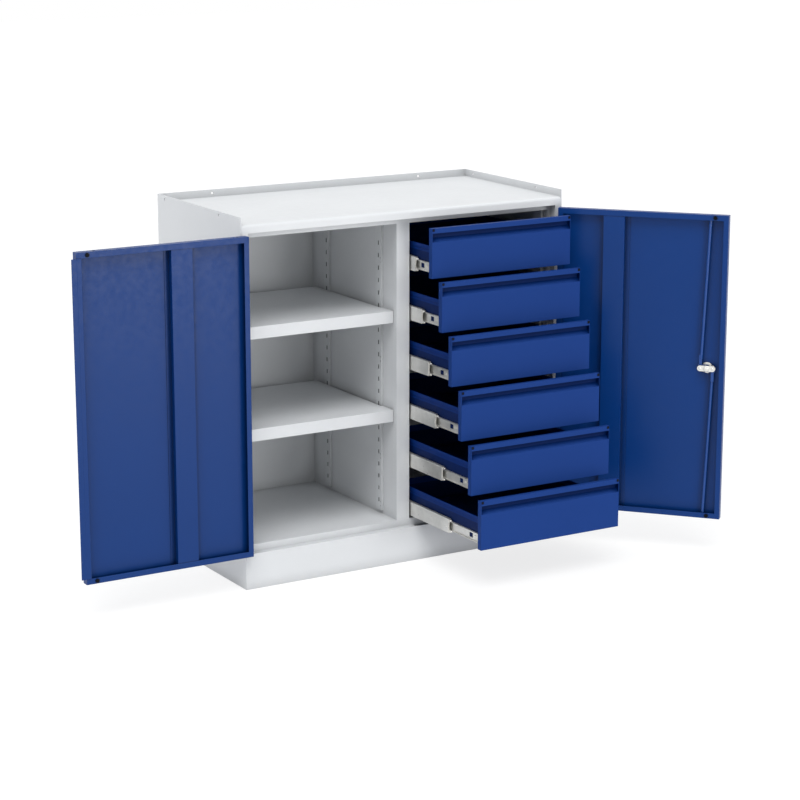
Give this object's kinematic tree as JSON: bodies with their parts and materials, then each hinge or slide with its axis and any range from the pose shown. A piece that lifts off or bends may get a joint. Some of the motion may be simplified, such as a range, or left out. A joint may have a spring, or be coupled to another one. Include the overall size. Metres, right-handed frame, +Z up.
{
  "type": "tool cabinet with doors",
  "caption": "Low steel tool cabinet with a rimmed tray top, two hinged doors, a bay with adjustable shelves and a bay of pull-out drawers on runners, and a turning lock with two rods.",
  "frame": {"origin": "centre of the cabinet's footprint, on the floor", "axes": "+Z up, +X to the right as seen from the front, -Y to the front, where the doors and drawers open"},
  "size_m": [1.7975, 0.8862, 1],
  "materials": {
    "grey_paint": "satin light grey powder coat",
    "blue_paint": "satin blue powder coat",
    "zinc": "zinc plated",
    "black_plastic": "moulded, matt"
  },
  "bodies": {
    "carcass": {"left_side_panel": "grey_paint", "right_side_panel": "grey_paint", "back_panel": "grey_paint", "top_tray": "grey_paint", "top_rail": "grey_paint", "floor_panel": "grey_paint", "plinth_front": "grey_paint", "base_frame": "grey_paint", "middle_post": "grey_paint", "divider": "grey_paint", "runner_posts": "grey_paint", "shelf_uprights": "grey_paint", "shelf_clips": "zinc", "lower_shelf": "grey_paint", "upper_shelf": "grey_paint", "cabinet_runners": "zinc", "hinge_brackets": "grey_paint", "hinge_pins": "zinc"},
    "left_door": {"left_door_panel": "blue_paint", "left_door_stiffener": "blue_paint", "left_door_overlap_strip": "blue_paint", "left_door_bumpers": "black_plastic", "left_door_hinges": "grey_paint"},
    "right_door": {"right_door_panel": "blue_paint", "right_door_stiffener": "blue_paint", "right_door_bumpers": "black_plastic", "right_door_hinges": "grey_paint", "lock_case": "zinc"},
    "lock": {"lock_handle": "black_plastic", "lock_crank": "zinc"},
    "upper_rod": {"upper_rod": "blue_paint"},
    "lower_rod": {"lower_rod": "blue_paint"},
    "drawer_1": {"drawer_1_front": "blue_paint", "drawer_1_box": "blue_paint", "drawer_1_runners": "zinc"},
    "drawer_2": {"drawer_2_front": "blue_paint", "drawer_2_box": "blue_paint", "drawer_2_runners": "zinc"},
    "drawer_3": {"drawer_3_front": "blue_paint", "drawer_3_box": "blue_paint", "drawer_3_runners": "zinc"},
    "drawer_4": {"drawer_4_front": "blue_paint", "drawer_4_box": "blue_paint", "drawer_4_runners": "zinc"},
    "drawer_5": {"drawer_5_front": "blue_paint", "drawer_5_box": "blue_paint", "drawer_5_runners": "zinc"},
    "drawer_6": {"drawer_6_front": "blue_paint", "drawer_6_box": "blue_paint", "drawer_6_runners": "zinc"},
    "mid_runners_1": {"drawer_1_mid_runners": "zinc"},
    "mid_runners_2": {"drawer_2_mid_runners": "zinc"},
    "mid_runners_3": {"drawer_3_mid_runners": "zinc"},
    "mid_runners_4": {"drawer_4_mid_runners": "zinc"},
    "mid_runners_5": {"drawer_5_mid_runners": "zinc"},
    "mid_runners_6": {"drawer_6_mid_runners": "zinc"}
  },
  "joints": [
    {"name": "left_door_hinge", "type": "hinge", "parent": "carcass", "child": "left_door", "pos_m": [-0.485, -0.2546, 0.527], "axis": [0, 0, -1], "range_deg": [-180, 0]},
    {"name": "right_door_hinge", "type": "hinge", "parent": "carcass", "child": "right_door", "pos_m": [0.485, -0.2546, 0.527], "axis": [0, 0, 1], "range_deg": [-31, 49]},
    {"name": "lock_turn", "type": "hinge", "parent": "right_door", "child": "lock", "pos_m": [0.7656, -0.58441, 0.527], "axis": [0.7547, 0.6561, 0], "range_deg": [0, 90]},
    {"name": "upper_rod_slide", "type": "slide", "parent": "right_door", "child": "upper_rod", "axis": [0.0261, -0.03, 0.9992], "range_m": [0, 0.01705]},
    {"name": "lower_rod_slide", "type": "slide", "parent": "right_door", "child": "lower_rod", "axis": [-0.0261, 0.03, -0.9992], "range_m": [0, 0.01705]},
    {"name": "drawer_1_slide", "type": "slide", "parent": "carcass", "child": "drawer_1", "axis": [0, -1, 0], "range_m": [-0.116, 0.284]},
    {"name": "drawer_2_slide", "type": "slide", "parent": "carcass", "child": "drawer_2", "axis": [0, -1, 0], "range_m": [-0.166, 0.234]},
    {"name": "drawer_3_slide", "type": "slide", "parent": "carcass", "child": "drawer_3", "axis": [0, -1, 0], "range_m": [-0.216, 0.184]},
    {"name": "drawer_4_slide", "type": "slide", "parent": "carcass", "child": "drawer_4", "axis": [0, -1, 0], "range_m": [-0.266, 0.134]},
    {"name": "drawer_5_slide", "type": "slide", "parent": "carcass", "child": "drawer_5", "axis": [0, -1, 0], "range_m": [-0.316, 0.084]},
    {"name": "drawer_6_slide", "type": "slide", "parent": "carcass", "child": "drawer_6", "axis": [0, -1, 0], "range_m": [-0.366, 0.034]},
    {"name": "mid_runners_1_slide", "type": "slide", "parent": "carcass", "child": "mid_runners_1", "axis": [0, -1, 0], "range_m": [-0.0812, 0.1988]},
    {"name": "mid_runners_2_slide", "type": "slide", "parent": "carcass", "child": "mid_runners_2", "axis": [0, -1, 0], "range_m": [-0.1162, 0.1638]},
    {"name": "mid_runners_3_slide", "type": "slide", "parent": "carcass", "child": "mid_runners_3", "axis": [0, -1, 0], "range_m": [-0.1512, 0.1288]},
    {"name": "mid_runners_4_slide", "type": "slide", "parent": "carcass", "child": "mid_runners_4", "axis": [0, -1, 0], "range_m": [-0.1862, 0.0938]},
    {"name": "mid_runners_5_slide", "type": "slide", "parent": "carcass", "child": "mid_runners_5", "axis": [0, -1, 0], "range_m": [-0.2212, 0.0588]},
    {"name": "mid_runners_6_slide", "type": "slide", "parent": "carcass", "child": "mid_runners_6", "axis": [0, -1, 0], "range_m": [-0.2562, 0.0238]}
  ],
  "couplings": [
    {"joint": "upper_rod_slide", "follows": "lock_turn", "m_per_rad": 0.010823},
    {"joint": "lower_rod_slide", "follows": "lock_turn", "m_per_rad": 0.010823},
    {"joint": "mid_runners_1_slide", "follows": "drawer_1_slide", "ratio": 0.7},
    {"joint": "mid_runners_2_slide", "follows": "drawer_2_slide", "ratio": 0.7},
    {"joint": "mid_runners_3_slide", "follows": "drawer_3_slide", "ratio": 0.7},
    {"joint": "mid_runners_4_slide", "follows": "drawer_4_slide", "ratio": 0.7},
    {"joint": "mid_runners_5_slide", "follows": "drawer_5_slide", "ratio": 0.7},
    {"joint": "mid_runners_6_slide", "follows": "drawer_6_slide", "ratio": 0.7}
  ]
}
